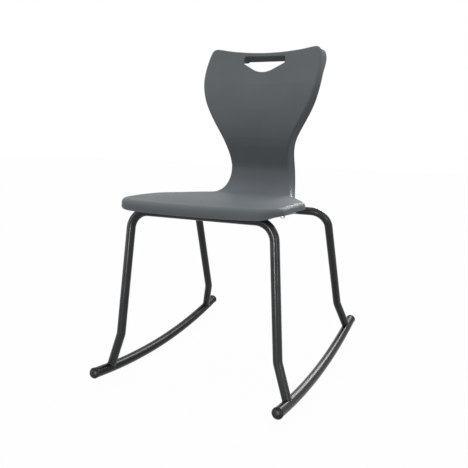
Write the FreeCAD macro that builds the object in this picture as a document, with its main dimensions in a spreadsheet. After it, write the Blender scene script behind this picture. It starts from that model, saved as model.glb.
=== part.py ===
import FreeCAD, Part
import math
import os
import Sketcher
import BOPTools.SplitAPI
from FreeCAD import Vector

# Moulded plastic rocking chair: one polypropylene seat shell on a welded frame
# of round steel tube. Two leg hoops stand on two bent rocker tubes, and two
# rails between the hoops carry the shell on four moulded bosses.
# Frame: X to the sitter's left, -Y to the front, Z up, floor at Z = 0, with the
# origin under the middle of the rockers. Millimetres.

# Driving sizes. Lengths are in millimetres and angles in degrees.
SIZES = {
    # Rockers and their end caps
    "rocker_track": 475.0,  # between the centre lines of the two rockers
    "rocker_radius": 1840.0,  # bend radius of a rocker's centre line
    "rocker_chord": 652.0,  # straight length of a rocker tube, end to end
    "rocker_low_y": -11.8,  # where the rockers touch the floor at rest
    "rocker_tube_od": 25.4,  # outer diameter of the rocker tube
    "rocker_tube_wall": 2.0,  # wall of the rocker tube
    "cap_head_od": 27.0,  # outer diameter of a rocker end cap
    "cap_head_length": 8.0,  # how far a cap stands out of its tube
    "cap_head_edge": 5.0,  # edge rounding of a cap
    "cap_stem_length": 16.0,  # how far a cap reaches into its tube
    "cap_stem_gap": 0.1,  # clearance around a cap's stem, on the radius
    # Leg hoops
    "leg_tube_od": 22.0,  # outer diameter of the leg tube
    "leg_tube_wall": 1.5,  # wall of the leg tube
    "leg_bend_radius": 47.0,  # centre line radius of the top bends
    "leg_kink_radius": 45.0,  # centre line radius of the lower bends
    "front_bar_y": -223.9,  # centre of the front crossbar
    "front_bar_z": 431.1,  # centre of the front crossbar
    "front_bar_half": 183.1,  # half width where front crossbar and legs meet
    "front_kink_half": 208.4,  # half width at the front lower bends
    "front_kink_drop": 311.8,  # lower bends below the front crossbar, along the leg
    "front_foot_inset": 66.1,  # front legs' feet behind the front ends of the rocker tubes
    "rear_bar_y": 141.5,  # centre of the rear crossbar
    "rear_bar_z": 401.2,  # centre of the rear crossbar
    "rear_bar_half": 200.3,  # half width where rear crossbar and legs meet
    "rear_kink_half": 212.5,  # half width at the rear lower bends
    "rear_kink_drop": 304.1,  # lower bends below the rear crossbar, along the leg
    "rear_foot_inset": 51.8,  # rear legs' feet ahead of the rear ends of the rocker tubes
    # Seat rails
    "rail_spacing": 220.0,  # between the centre lines of the two seat rails
    "rail_tube_od": 20.0,  # outer diameter of a seat rail
    "rail_tube_wall": 1.5,  # wall of a seat rail
    # Screws, washers and bosses
    "front_screw_place": 70.0,  # front screws behind the front crossbar, along the rail
    "rear_screw_place": 262.0,  # rear screws behind the front crossbar, along the rail
    "screw_shank_od": 6.0,  # outer diameter of a screw's thread
    "screw_head_od": 12.0,  # diameter of a screw head
    "screw_head_height": 4.2,  # height of a screw head
    "screw_grip": 9.0,  # how far a screw reaches into its boss
    "screw_hole_gap": 0.3,  # clearance of the screw holes in the rails, on the radius
    "pilot_gap": 0.05,  # clearance of the thread in its boss, on the radius
    "pilot_spare": 3.0,  # boss hole beyond the screw's tip
    "washer_od": 14.0,  # outer diameter of a washer
    "washer_thickness": 1.6,  # thickness of a washer
    "boss_od": 20.0,  # diameter of a moulded boss under the seat
    # Side profile of the seat shell
    "shell_wall": 4.5,  # wall of the seat shell
    "seat_low_z": 447.0,  # lowest point of the sitting face
    "seat_rake": 3.6,  # rise of the seat towards the front, degrees
    "seat_straight": 200.0,  # straight part of the seat, front to back
    "seat_crown_radius": 2300.0,  # gentle crown of the front of the seat
    "bend_radius": 57.0,  # bend between seat and back
    "lower_back_lean": 23.0,  # backward lean of the lower back, degrees
    "lumbar_radius": 235.0,  # bulge of the back at the lumbar
    "lumbar_y": 102.0,  # most forward point of the back
    "lumbar_z": 660.0,  # height of the most forward point of the back
    "upper_back_lean": 27.0,  # backward lean of the upper back, degrees
    "top_run": 75.5,  # upper back above the lumbar bulge, on the middle line
    "hollow_radius": 820.0,  # hollow of the back, from side to side
    "hollow_fade_run": 180.0,  # where the back starts to get flatter towards the bend
    "hollow_end_run": 340.0,  # where the face is straight from side to side
    # Outline of the seat shell, laid flat; runs are measured along the profile
    "top_dip_radius": 1335.0,  # hollow of the top edge, seen from the front
    "top_corner_radius": 12.0,  # corners of the top edge
    "shoulder_half": 161.5,  # greatest half width of the back
    "shoulder_run": -14.0,  # where the back is widest, along the profile
    "shoulder_radius": 249.0,  # side curve of the shoulders
    "waist_half": 82.0,  # least half width of the shell
    "waist_run": 250.5,  # where the shell is narrowest, along the profile
    "side_slant": 27.0,  # slant of the sides from shoulders to waist, degrees
    "hip_slant": 28.0,  # slant of the sides from the waist to the seat, degrees
    "hip_radius": 80.0,  # side curve where the slant meets the seat's side
    "seat_half": 199.0,  # half width of the sitting face
    "seat_corner_radius": 50.0,  # front corners of the seat
    "front_edge_radius": 800.0,  # bow of the front edge, seen from above
    "front_run": 731.0,  # where the sitting face ends in front, along the profile
    # Rolled edge and flange of the seat shell
    "back_edge_radius": 7.0,  # rounding of the shell's edge along the back
    "seat_edge_radius": 11.0,  # rounding of the shell's edge along the seat's sides
    "front_edge_rounding": 16.0,  # rounding of the seat's front edge
    "top_flange": 28.0,  # depth of the shell's flange at the top
    "shoulder_flange": 19.5,  # depth of the flange at the shoulders
    "waist_flange": 31.0,  # depth of the flange at the waist
    "seat_flange": 16.5,  # depth of the flange along the seat's sides
    "front_flange": 24.0,  # depth of the flange in front
    "back_flange_draft": 12.0,  # outward draft of the flange along the back, degrees
    "seat_flange_draft": 6.0,  # outward draft of the flange along the seat, degrees
    "deep_top_run": 60.0,  # upper end of the zone where the top flange gets shallower, above the bulge
    "shoulder_zone_run": 10.0,  # lower end of that zone, along the profile
    "low_back_run": 150.0,  # where the flange has its depth of the waist
    "bend_zone_run": 330.0,  # where the flange starts to get shallower towards the seat
    "round_zone_run": 360.0,  # where the edge rounding starts to grow towards the seat
    "seat_zone_run": 480.0,  # where flange and rounding have their seat sizes
    "front_zone_length": 36.0,  # length of the zone in which the front edge gets deeper
    "edge_start": 15.0,  # slope at which the edge rounding starts, degrees
    # Hand hole and ribs
    "grip_half": 61.0,  # half width of the hand hole
    "grip_top_run": 67.5,  # top of the hand hole above the lumbar bulge
    "grip_side_run": 45.5,  # lower end of the hand hole's short sides
    "grip_low_run": 19.0,  # bottom of the hand hole's bow
    "grip_bow_radius": 55.0,  # rounding at the bottom of the bow
    "grip_corner_radius": 8.0,  # rounding of the hand hole's upper corners
    "grip_lip_wall": 3.5,  # wall of the lip behind the hand hole
    "grip_lip_slope": 33.0,  # slope of the lip's lower end, degrees
    "rib_wall": 3.0,  # wall of the ribs under the seat
    "rib_depth": 9.0,  # depth of the ribs below the seat's underside
    "rib_front_y": -250.0,  # front end of the lengthwise ribs
    "rib_rear_y": 62.0,  # rear end of the lengthwise ribs
    "rib_half_width": 132.0,  # half length of the crosswise ribs
}

doc = FreeCAD.newDocument("rocking_chair")
sheet = doc.addObject("Spreadsheet::Sheet", "Sizes")
for row, (name, value) in enumerate(SIZES.items(), start=1):
    sheet.set(f"A{row}", name)
    sheet.set(f"B{row}", str(value))
    sheet.setAlias(f"B{row}", name)
doc.recompute()


def size(name):
    """Value of one driving size, from the sheet."""
    return float(sheet.get(name))


def place(base, axis="0; 0; 1", angle="0"):
    """Placement expression from a position, a rotation axis and an angle."""
    return f"placement(vector({base}); rotation(vector({axis}); {angle}))"


def plane(body, role):
    """Origin plane of a body by its role."""
    for feature in body.Origin.OriginFeatures:
        if feature.Role == role:
            return feature
    raise ValueError(role)


def add_sketch(body, name, role):
    """Empty sketch on one of the body's own origin planes."""
    sketch = body.newObject("Sketcher::SketchObject", name)
    sketch.AttachmentSupport = [(plane(body, role), "")]
    sketch.MapMode = "FlatFace"
    return sketch


def bind(sketch, constraint, name, formula):
    """Add a named dimension to a sketch and bind it to the sheet."""
    index = sketch.addConstraint(constraint)
    sketch.renameConstraint(index, name)
    sketch.setExpression(f"Constraints.{name}", formula)


def add_ring(sketch, diameter_out, diameter_in, drop=None):
    """Tube section: two circles about one centre, on the sketch's vertical axis."""
    low = 0.0 if drop is None else -100.0
    up = Vector(0, 0, 1)
    outer = sketch.addGeometry(Part.Circle(Vector(0, low, 0), up, 12.0))
    circles = [(outer, "outer", diameter_out)]
    if diameter_in is not None:
        inner = sketch.addGeometry(Part.Circle(Vector(0, low, 0), up, 10.0))
        sketch.addConstraint(Sketcher.Constraint("Coincident", inner, 3, outer, 3))
        circles.append((inner, "inner", diameter_in))
    if drop is None:
        sketch.addConstraint(Sketcher.Constraint("Coincident", outer, 3, -1, 1))
    else:
        sketch.addConstraint(Sketcher.Constraint("PointOnObject", outer, 3, -2))
        bind(sketch, Sketcher.Constraint("DistanceY", outer, 3, -1, 1, 100.0), "drop", drop)
    for index, name, formula in circles:
        bind(sketch, Sketcher.Constraint("Diameter", index, 20.0), name, formula)


# Rockers: steel tube rolled to one long arc. Their lowest point stands under
# the chair's centre of gravity, so the chair rests level.

ROCKER_SPREAD = "2 * asin(Sizes.rocker_chord / 2 / Sizes.rocker_radius)"
ROCKER_TURN = "asin(Sizes.rocker_low_y / Sizes.rocker_radius)"
ROCKER_CENTRE_Z = "Sizes.rocker_radius + Sizes.rocker_tube_od / 2"


def rocker_body(name, side, hollow):
    """One rocker tube, or the solid rod that a leg end is cut to."""
    body = doc.addObject("PartDesign::Body", name)
    section = add_sketch(body, name + "_section", "XZ_Plane")
    bore = "Sizes.rocker_tube_od - 2 * Sizes.rocker_tube_wall" if hollow else None
    add_ring(section, "Sizes.rocker_tube_od", bore, "Sizes.rocker_radius")
    turn = body.newObject("PartDesign::Revolution", name + "_roll")
    turn.Profile = section
    turn.ReferenceAxis = (section, ["H_Axis"])
    turn.Midplane = True
    turn.setExpression("Angle", ROCKER_SPREAD)
    base = f"{side} * Sizes.rocker_track / 2; Sizes.rocker_low_y; {ROCKER_CENTRE_Z}"
    body.setExpression("Placement", place(base, "1; 0; 0", f"-({ROCKER_TURN})"))
    return body


def rocker_height(y):
    """Height of the rocker's centre line at a place along the chair."""
    radius = size("rocker_radius")
    reach = y - size("rocker_low_y")
    return size("rocker_tube_od") / 2 + radius - math.sqrt(radius ** 2 - reach ** 2)


rockers = {
    "left": rocker_body("left_rocker", 1, True),
    "right": rocker_body("right_rocker", -1, True),
}
rocker_rods = doc.addObject("Part::Compound", "rocker_rods")
rocker_rods.Links = [rocker_body("left_rod", 1, False), rocker_body("right_rod", -1, False)]


# End caps: black polyethylene plugs with a rounded head and a stem that is
# pressed into the end of the rocker tube.


def cap_body(name, side, end):
    """One end cap, turned about its own axis; its head points away from the tube."""
    body = doc.addObject("PartDesign::Body", name)
    profile = add_sketch(body, name + "_profile", "XZ_Plane")
    head = size("cap_head_od") / 2
    tall = size("cap_head_length")
    edge = size("cap_head_edge")
    stem = size("rocker_tube_od") / 2 - size("rocker_tube_wall") - size("cap_stem_gap")
    deep = size("cap_stem_length")
    points = [Vector(0, tall, 0), Vector(head - edge, tall, 0), Vector(head, tall - edge, 0),
              Vector(head, 0, 0), Vector(stem, 0, 0), Vector(stem, -deep, 0), Vector(0, -deep, 0)]
    count = len(points)
    lines = []
    for start in range(count):
        if start == 1:
            centre = Vector(head - edge, tall - edge, 0)
            circle = Part.Circle(centre, Vector(0, 0, 1), edge)
            lines.append(profile.addGeometry(Part.ArcOfCircle(circle, 0.0, math.pi / 2)))
        else:
            segment = Part.LineSegment(points[start], points[(start + 1) % count])
            lines.append(profile.addGeometry(segment))
    top, arc, side_line, step, stem_line, low, axis = lines
    join = [(top, 2, arc, 2), (arc, 1, side_line, 1)]
    for one, one_end, other, other_end in join:
        profile.addConstraint(Sketcher.Constraint("Tangent", one, one_end, other, other_end))
    for one, other in ((side_line, step), (step, stem_line), (stem_line, low), (low, axis), (axis, top)):
        profile.addConstraint(Sketcher.Constraint("Coincident", one, 2, other, 1))
    for line in (top, step, low):
        profile.addConstraint(Sketcher.Constraint("Horizontal", line))
    for line in (side_line, stem_line):
        profile.addConstraint(Sketcher.Constraint("Vertical", line))
    profile.addConstraint(Sketcher.Constraint("PointOnObject", axis, 1, -2))
    profile.addConstraint(Sketcher.Constraint("PointOnObject", axis, 2, -2))
    profile.addConstraint(Sketcher.Constraint("PointOnObject", step, 1, -1))
    bind(profile, Sketcher.Constraint("Radius", arc, edge), "edge", "Sizes.cap_head_edge")
    bind(profile, Sketcher.Constraint("DistanceX", -1, 1, step, 1, head), "head", "Sizes.cap_head_od / 2")
    bind(profile, Sketcher.Constraint("DistanceY", -1, 1, top, 1, tall), "tall", "Sizes.cap_head_length")
    bind(profile, Sketcher.Constraint("DistanceX", -1, 1, stem_line, 1, stem), "stem",
         "Sizes.rocker_tube_od / 2 - Sizes.rocker_tube_wall - Sizes.cap_stem_gap")
    bind(profile, Sketcher.Constraint("DistanceY", low, 1, -1, 1, deep), "deep", "Sizes.cap_stem_length")
    turn = body.newObject("PartDesign::Revolution", name + "_turning")
    turn.Profile = profile
    turn.ReferenceAxis = (profile, ["V_Axis"])
    turn.Angle = 360.0
    half = f"({ROCKER_SPREAD}) / 2"
    angle = f"({end} * {half} - {ROCKER_TURN})"
    base = (f"{side} * Sizes.rocker_track / 2; "
            f"Sizes.rocker_low_y + Sizes.rocker_radius * sin{angle}; "
            f"{ROCKER_CENTRE_Z} - Sizes.rocker_radius * cos{angle}")
    body.setExpression("Placement", place(base, "1; 0; 0", f"{angle} - {end} * 90 deg"))
    return body


caps = {}
for side_name, side in (("left", 1), ("right", -1)):
    for end_name, end in (("front", -1), ("rear", 1)):
        node = f"{end_name}_{side_name}_cap"
        caps[node] = cap_body(node, side, end)


# Leg hoops: each is one steel tube, bent four times in one plane. The crossbar
# lies under the seat, and the feet are cut to the rockers and welded on.


def foot_y(end):
    """Where a hoop's feet meet the rockers."""
    reach = size("rocker_chord") / 2 - size(end + "_foot_inset")
    return -reach if end == "front" else reach


def hoop_values(end):
    """Drop of a hoop's feet in its own plane, and the lean of that plane."""
    rise = size(end + "_bar_z") - rocker_height(foot_y(end))
    reach = foot_y(end) - size(end + "_bar_y")
    return math.hypot(rise, reach), math.degrees(math.atan2(reach, rise))


def hoop_path(sketch, end, drop):
    """Half of a hoop's centre line: crossbar, top bend, leg, lower bend and foot."""
    corner = Vector(size(end + "_bar_half"), 0, 0)
    kink = Vector(size(end + "_kink_half"), -size(end + "_kink_drop"), 0)
    foot = Vector(size("rocker_track") / 2, -drop, 0)
    start = Vector(0, 0, 0)

    def bend(before, point, after, radius):
        """Arc that rounds one corner of the path, with its two ends."""
        to_before = (before - point).normalize()
        to_after = (after - point).normalize()
        half = to_before.getAngle(to_after) / 2
        reach = radius / math.tan(half)
        middle = point + (to_before + to_after).normalize() * (radius / math.sin(half) - radius)
        return point + to_before * reach, middle, point + to_after * reach

    top = bend(start, corner, kink, size("leg_bend_radius"))
    low = bend(corner, kink, foot, size("leg_kink_radius"))
    pieces = [Part.LineSegment(start, top[0]), Part.Arc(*top), Part.LineSegment(top[2], low[0]),
              Part.Arc(*low), Part.LineSegment(low[2], foot)]
    bar, top_arc, leg, low_arc, shin = [sketch.addGeometry(piece) for piece in pieces]

    def near(curve, point):
        """Which end of a curve lies at a point."""
        return 1 if sketch.getPoint(curve, 1).distanceToPoint(point) < 1e-6 else 2

    for line, arc, point in ((bar, top_arc, top[0]), (leg, top_arc, top[2]),
                             (leg, low_arc, low[0]), (shin, low_arc, low[2])):
        ends = (line, near(line, point), arc, near(arc, point))
        sketch.addConstraint(Sketcher.Constraint("Tangent", *ends))
    sketch.addConstraint(Sketcher.Constraint("Coincident", bar, 1, -1, 1))
    sketch.addConstraint(Sketcher.Constraint("Horizontal", bar))
    marks = []
    for point, one, other in ((corner, bar, leg), (kink, leg, shin)):
        mark = sketch.addGeometry(Part.Point(point), True)
        sketch.addConstraint(Sketcher.Constraint("PointOnObject", mark, 1, one))
        sketch.addConstraint(Sketcher.Constraint("PointOnObject", mark, 1, other))
        marks.append(mark)
    bind(sketch, Sketcher.Constraint("Radius", top_arc, 47.0), "top_bend", "Sizes.leg_bend_radius")
    bind(sketch, Sketcher.Constraint("Radius", low_arc, 45.0), "low_bend", "Sizes.leg_kink_radius")
    bind(sketch, Sketcher.Constraint("DistanceX", -1, 1, marks[0], 1, corner.x), "bar_half",
         f"Sizes.{end}_bar_half")
    bind(sketch, Sketcher.Constraint("DistanceX", -1, 1, marks[1], 1, kink.x), "kink_half",
         f"Sizes.{end}_kink_half")
    bind(sketch, Sketcher.Constraint("DistanceY", marks[1], 1, -1, 1, -kink.y), "kink_drop",
         f"Sizes.{end}_kink_drop")
    bind(sketch, Sketcher.Constraint("DistanceX", -1, 1, shin, 2, foot.x), "foot_half",
         "Sizes.rocker_track / 2")
    sketch.addConstraint(Sketcher.Constraint("DistanceY", shin, 2, -1, 1, drop))


def leg_hoop(end):
    """One inverted U of tube, with its feet cut to fit the rockers."""
    node = end + "_leg_hoop"
    drop, lean = hoop_values(end)
    body = doc.addObject("PartDesign::Body", end + "_hoop_tube")
    path = add_sketch(body, end + "_hoop_path", "XZ_Plane")
    hoop_path(path, end, drop)
    section = add_sketch(body, end + "_hoop_section", "YZ_Plane")
    add_ring(section, "Sizes.leg_tube_od", "Sizes.leg_tube_od - 2 * Sizes.leg_tube_wall")
    doc.recompute()
    pipe = body.newObject("PartDesign::AdditivePipe", end + "_hoop_bend")
    pipe.Profile = section
    pipe.Spine = path
    doc.recompute()
    mirror = body.newObject("PartDesign::Mirrored", end + "_hoop_mirror")
    mirror.Originals = [pipe]
    mirror.MirrorPlane = (plane(body, "YZ_Plane"), [""])
    body.Tip = mirror
    base = f"0; Sizes.{end}_bar_y; Sizes.{end}_bar_z"
    body.setExpression("Placement", place(base, "1; 0; 0", f"{lean}"))
    hoop = doc.addObject("Part::Cut", node)
    hoop.Base = body
    hoop.Tool = rocker_rods
    return hoop


hoops = {end: leg_hoop(end) for end in ("front", "rear")}


# Seat rails: straight steel tubes welded between the two crossbars, drilled
# through for the four screws that hold the shell.

RAIL_RISE = "(Sizes.front_bar_z - Sizes.rear_bar_z)"
RAIL_REACH = "(Sizes.rear_bar_y - Sizes.front_bar_y)"


def rail_frame(side, along, up=0.0):
    """Placement on a rail: Z points up, square to the rail, and Y points to the rear."""
    fall = math.atan2(size("front_bar_z") - size("rear_bar_z"), size("rear_bar_y") - size("front_bar_y"))
    back = Vector(0, math.cos(fall), -math.sin(fall))
    above = Vector(0, math.sin(fall), math.cos(fall))
    start = Vector(side * size("rail_spacing") / 2, size("front_bar_y"), size("front_bar_z"))
    turn = FreeCAD.Rotation(Vector(1, 0, 0), -math.degrees(fall))
    return FreeCAD.Placement(start + back * along + above * up, turn)


def seat_rail(name, side):
    """One rail: a padded ring, cut to the crossbars and drilled for its two screws."""
    body = doc.addObject("PartDesign::Body", name + "_tube")
    section = add_sketch(body, name + "_section", "XZ_Plane")
    add_ring(section, "Sizes.rail_tube_od", "Sizes.rail_tube_od - 2 * Sizes.rail_tube_wall")
    doc.recompute()
    pad = body.newObject("PartDesign::Pad", name + "_pad")
    pad.Profile = section
    pad.setExpression("Length", f"sqrt({RAIL_RISE} ^ 2 + {RAIL_REACH} ^ 2)")
    pad.Reversed = True
    base = f"{side} * Sizes.rail_spacing / 2; Sizes.front_bar_y; Sizes.front_bar_z"
    body.setExpression("Placement", place(base, "1; 0; 0", f"-atan({RAIL_RISE} / {RAIL_REACH})"))
    tools = []
    for end in ("front", "rear"):
        bar = doc.addObject("Part::Cylinder", f"{name}_{end}_bar")
        bar.setExpression("Radius", "Sizes.leg_tube_od / 2")
        bar.setExpression("Height", "Sizes.rail_spacing")
        spot = f"({side} - 1) * Sizes.rail_spacing / 2; Sizes.{end}_bar_y; Sizes.{end}_bar_z"
        bar.setExpression("Placement", place(spot, "0; 1; 0", "90"))
        hole = doc.addObject("Part::Cylinder", f"{name}_{end}_hole")
        hole.setExpression("Radius", "Sizes.screw_shank_od / 2 + Sizes.screw_hole_gap")
        hole.setExpression("Height", "2 * Sizes.rail_tube_od")
        hole.Placement = rail_frame(side, size(end + "_screw_place"), -size("rail_tube_od"))
        tools += [bar, hole]
    cutter = doc.addObject("Part::Compound", name + "_cuts")
    cutter.Links = tools
    rail = doc.addObject("Part::Cut", name)
    rail.Base = body
    rail.Tool = cutter
    return rail


rails = {
    "left": seat_rail("left_seat_rail", 1),
    "right": seat_rail("right_seat_rail", -1),
}
SCREW_SPOTS = [(side, end) for side in (1, -1) for end in ("front", "rear")]


# Screws and washers: four thread-forming screws from below, each with a plain
# washer under its head.


def washer(index, side, end):
    """One washer, lying against the underside of its rail."""
    ring = doc.addObject("Part::Cylinder", f"washer_disc_{index}")
    ring.setExpression("Radius", "Sizes.washer_od / 2")
    ring.setExpression("Height", "Sizes.washer_thickness")
    bore = doc.addObject("Part::Cylinder", f"washer_bore_{index}")
    bore.setExpression("Radius", "Sizes.screw_shank_od / 2 + Sizes.screw_hole_gap")
    bore.setExpression("Height", "Sizes.washer_thickness")
    low = -size("rail_tube_od") / 2 - size("washer_thickness")
    for part in (ring, bore):
        part.Placement = rail_frame(side, size(end + "_screw_place"), low)
    disc = doc.addObject("Part::Cut", f"washer_{index}")
    disc.Base = ring
    disc.Tool = bore
    return disc


def screw(index, side, end):
    """One screw with a low round head, pointing up into its boss."""
    low = -size("rail_tube_od") / 2 - size("washer_thickness") - size("screw_head_height")
    head = doc.addObject("Part::Cylinder", f"screw_head_{index}")
    head.setExpression("Radius", "Sizes.screw_head_od / 2")
    head.setExpression("Height", "Sizes.screw_head_height")
    head.Placement = rail_frame(side, size(end + "_screw_place"), low)
    rounded = doc.addObject("Part::Fillet", f"screw_dome_{index}")
    rounded.Base = head
    doc.recompute()
    lowest = min(range(3), key=lambda number: head.Shape.Edges[number].CenterOfMass.z)
    rounded.Edges = [(lowest + 1, size("screw_head_height") / 2, size("screw_head_height") / 2)]
    shank = doc.addObject("Part::Cylinder", f"screw_shank_{index}")
    shank.setExpression("Radius", "Sizes.screw_shank_od / 2")
    shank.setExpression("Height", "Sizes.washer_thickness + Sizes.rail_tube_od + Sizes.screw_grip")
    shank.Placement = rail_frame(side, size(end + "_screw_place"), low + size("screw_head_height"))
    whole = doc.addObject("Part::Fuse", f"screw_{index}")
    whole.Base = rounded
    whole.Tool = shank
    return whole


washers = doc.addObject("Part::Compound", "seat_washers")
washers.Links = [washer(index, *spot) for index, spot in enumerate(SCREW_SPOTS)]
screws = doc.addObject("Part::Compound", "seat_screws")
screws.Links = [screw(index, *spot) for index, spot in enumerate(SCREW_SPOTS)]


# Seat shell: one injection moulding. Its sides follow one bent profile from
# the top edge to the front edge. The seat is straight from side to side, and
# the back is hollow. All round, the face rolls over into a flange.
# Run lengths are measured along the profile, from the upper end of the lumbar
# bulge towards the seat, so that the upper back has negative runs.


class Profile:
    """Side profile of the sitting face, as straight and round runs."""

    def __init__(self):
        lower = math.radians(size("lower_back_lean"))
        upper = math.radians(size("upper_back_lean"))
        rake = math.radians(size("seat_rake"))
        bulge = size("lumbar_radius")
        bend = size("bend_radius")
        centre_y = size("lumbar_y") + bulge
        self.start = (centre_y - bulge * math.cos(upper), size("lumbar_z") + bulge * math.sin(upper))
        self.heading = -math.pi / 2 - upper
        fall = size("lumbar_z") - bulge * math.sin(lower)
        straight = (fall - size("seat_low_z") - bend * (1 + math.sin(lower))) / math.cos(lower)
        self.runs = [
            (bulge * (lower + upper), bulge),
            (straight, None),
            (bend * (math.pi / 2 + lower + rake), -bend),
            (size("seat_straight"), None),
            (size("front_run"), size("seat_crown_radius")),
        ]

    def at(self, run, depth=0.0):
        """Point (y, z) at a run length, that far behind the sitting face."""
        (y, z), heading = self.start, self.heading
        pieces = self.runs if run >= 0 else [(0.0, None)]
        left = run
        for place_in_list, (length, radius) in enumerate(pieces):
            last = place_in_list == len(pieces) - 1
            step = left if last else min(left, length)
            if radius is None:
                y += step * math.cos(heading)
                z += step * math.sin(heading)
            else:
                turned = heading + step / radius
                y += radius * (math.sin(turned) - math.sin(heading))
                z -= radius * (math.cos(turned) - math.cos(heading))
                heading = turned
            left -= step
            if left <= 0:
                break
        return y - depth * math.sin(heading), z + depth * math.cos(heading)

    def point(self, run, across, depth=0.0):
        """Point of the chair from a run length, a place across and a depth."""
        y, z = self.at(run, depth)
        return Vector(across, y, z)

    def joints(self):
        """Run lengths at which one run of the profile meets the next."""
        ends = [0.0]
        for length, _ in self.runs[:-1]:
            ends.append(ends[-1] + length)
        return ends


profile = Profile()
CUT_PAST = 8.0  # how far a cutting surface or block runs past what it cuts
SLAB_PAST = 60.0  # how far the slab runs past the outline on every side
SLAB_BANDS = 12  # bands of the slab's faces, along the profile
SLAB_ROWS = 6  # rows of points in one band
SLAB_COLUMNS = 8  # columns of points on the slab's faces, from the middle to the side
PATCH_POINTS = 7  # points on the edge's curves in one patch of its surface


def ease(low, high, run):
    """Smooth step from 0 to 1 between two run lengths."""
    share = min(1.0, max(0.0, (run - low) / (high - low)))
    return share * share * (3 - 2 * share)


def flange_depth(run):
    """Depth of the flange behind the sitting face."""
    top, shoulder, waist = size("top_flange"), size("shoulder_flange"), size("waist_flange")
    side, front = size("seat_flange"), size("front_flange")
    edge, zone = size("front_run"), size("front_zone_length")
    depth = top + (shoulder - top) * ease(-size("deep_top_run"), -size("shoulder_zone_run"), run)
    depth += (waist - shoulder) * ease(-size("shoulder_zone_run"), size("low_back_run"), run)
    depth += (side - waist) * ease(size("bend_zone_run"), size("seat_zone_run"), run)
    return depth + (front - side) * ease(edge - zone, edge, run)


def edge_rounding(run):
    """Radius with which the sitting face rolls over into the flange."""
    back, side, front = size("back_edge_radius"), size("seat_edge_radius"), size("front_edge_rounding")
    edge, zone = size("front_run"), size("front_zone_length")
    radius = back + (side - back) * ease(size("round_zone_run"), size("seat_zone_run"), run)
    return radius + (front - side) * ease(edge - zone, edge, run)


def flange_slope(run):
    """Slope of the flange's outside against the sitting face."""
    back, seat = size("back_flange_draft"), size("seat_flange_draft")
    draft = back + (seat - back) * ease(size("round_zone_run"), size("seat_zone_run"), run)
    return math.pi / 2 - math.radians(draft)


def arc_points(centre, radius, start, end, count, hollow=False):
    """Outline points on an arc, by the angle of the outward normal from across."""
    turn = -1.0 if hollow else 1.0
    points = []
    for index in range(count + 1):
        angle = start + (end - start) * index / count
        out = (math.sin(angle), math.cos(angle))
        points.append((centre[0] + turn * radius * out[0], centre[1] + turn * radius * out[1], out))
    return points


def between(start, end, angle, count):
    """Outline points spread evenly between the ends of a straight, by its outward normal."""
    out = (math.sin(angle), math.cos(angle))
    points = []
    for index in range(1, count + 1):
        share = index / (count + 1)
        points.append((start[0] + (end[0] - start[0]) * share, start[1] + (end[1] - start[1]) * share, out))
    return points


def flat_outline():
    """Left half of the sitting face's outline, laid flat: (run, across, outward normal)."""
    dip, shoulder_radius = size("top_dip_radius"), size("shoulder_radius")
    corner, hip_radius, seat_half = size("top_corner_radius"), size("hip_radius"), size("seat_half")
    front_corner, bow = size("seat_corner_radius"), size("front_edge_radius")
    side, hip = math.radians(size("side_slant")), -math.radians(size("hip_slant"))
    # Top corner: touches the hollow top edge and the shoulder curve
    dip_centre = (-size("top_run") - dip, 0.0)
    shoulder = (size("shoulder_run"), size("shoulder_half") - shoulder_radius)
    from_dip = dip + corner
    from_shoulder = shoulder_radius - corner
    gap = math.dist(dip_centre, shoulder)
    toward = ((shoulder[0] - dip_centre[0]) / gap, (shoulder[1] - dip_centre[1]) / gap)
    share = (from_dip ** 2 - from_shoulder ** 2 + gap ** 2) / (2 * gap)
    rise = math.sqrt(from_dip ** 2 - share ** 2)
    corner_centre = (dip_centre[0] + share * toward[0] - rise * toward[1],
                     dip_centre[1] + share * toward[1] + rise * toward[0])
    corner_start = math.atan2(dip_centre[0] - corner_centre[0], dip_centre[1] - corner_centre[1])
    corner_end = math.atan2(corner_centre[0] - shoulder[0], corner_centre[1] - shoulder[1])
    # Waist: its curve touches the shoulder curve's tangent at the side slant
    tangent = math.sin(side) * shoulder[0] + math.cos(side) * shoulder[1] + shoulder_radius
    level = math.sin(side) * size("waist_run") + math.cos(side) * size("waist_half")
    waist_radius = (level - tangent) / (1 - math.cos(side))
    waist = (size("waist_run"), size("waist_half") + waist_radius)
    # Hip: a straight slant, then an arc into the side of the seat
    slant_start = (waist[0] - waist_radius * math.sin(hip), waist[1] - waist_radius * math.cos(hip))
    slant_end = seat_half - hip_radius * (1 - math.cos(hip))
    slant_run = slant_start[0] + (slant_end - slant_start[1]) / math.tan(-hip)
    hip_centre = (slant_run - hip_radius * math.sin(hip), seat_half - hip_radius)
    # Front corner: touches the straight side and the bowed front edge
    bow_centre = (size("front_run") - bow, 0.0)
    corner_across = seat_half - front_corner
    corner_run = bow_centre[0] + math.sqrt((bow - front_corner) ** 2 - corner_across ** 2)
    bow_start = math.atan2(corner_run - bow_centre[0], corner_across)
    points = arc_points(dip_centre, dip, -math.pi / 2, corner_start, 5, hollow=True)[:-1]
    points += arc_points(corner_centre, corner, corner_start, corner_end, 5)
    points += arc_points(shoulder, shoulder_radius, corner_end, side, 8)[1:]
    points += arc_points(waist, waist_radius, side, hip, 9, hollow=True)
    points += between(slant_start, (slant_run, slant_end), hip, 2)
    points += arc_points(hip_centre, hip_radius, hip, 0.0, 4)
    points += between((hip_centre[0], seat_half), (corner_run, seat_half), 0.0, 3)
    points += arc_points((corner_run, corner_across), front_corner, 0.0, bow_start, 6)
    points += arc_points(bow_centre, bow, bow_start, math.pi / 2, 4)[1:]
    return points


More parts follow.
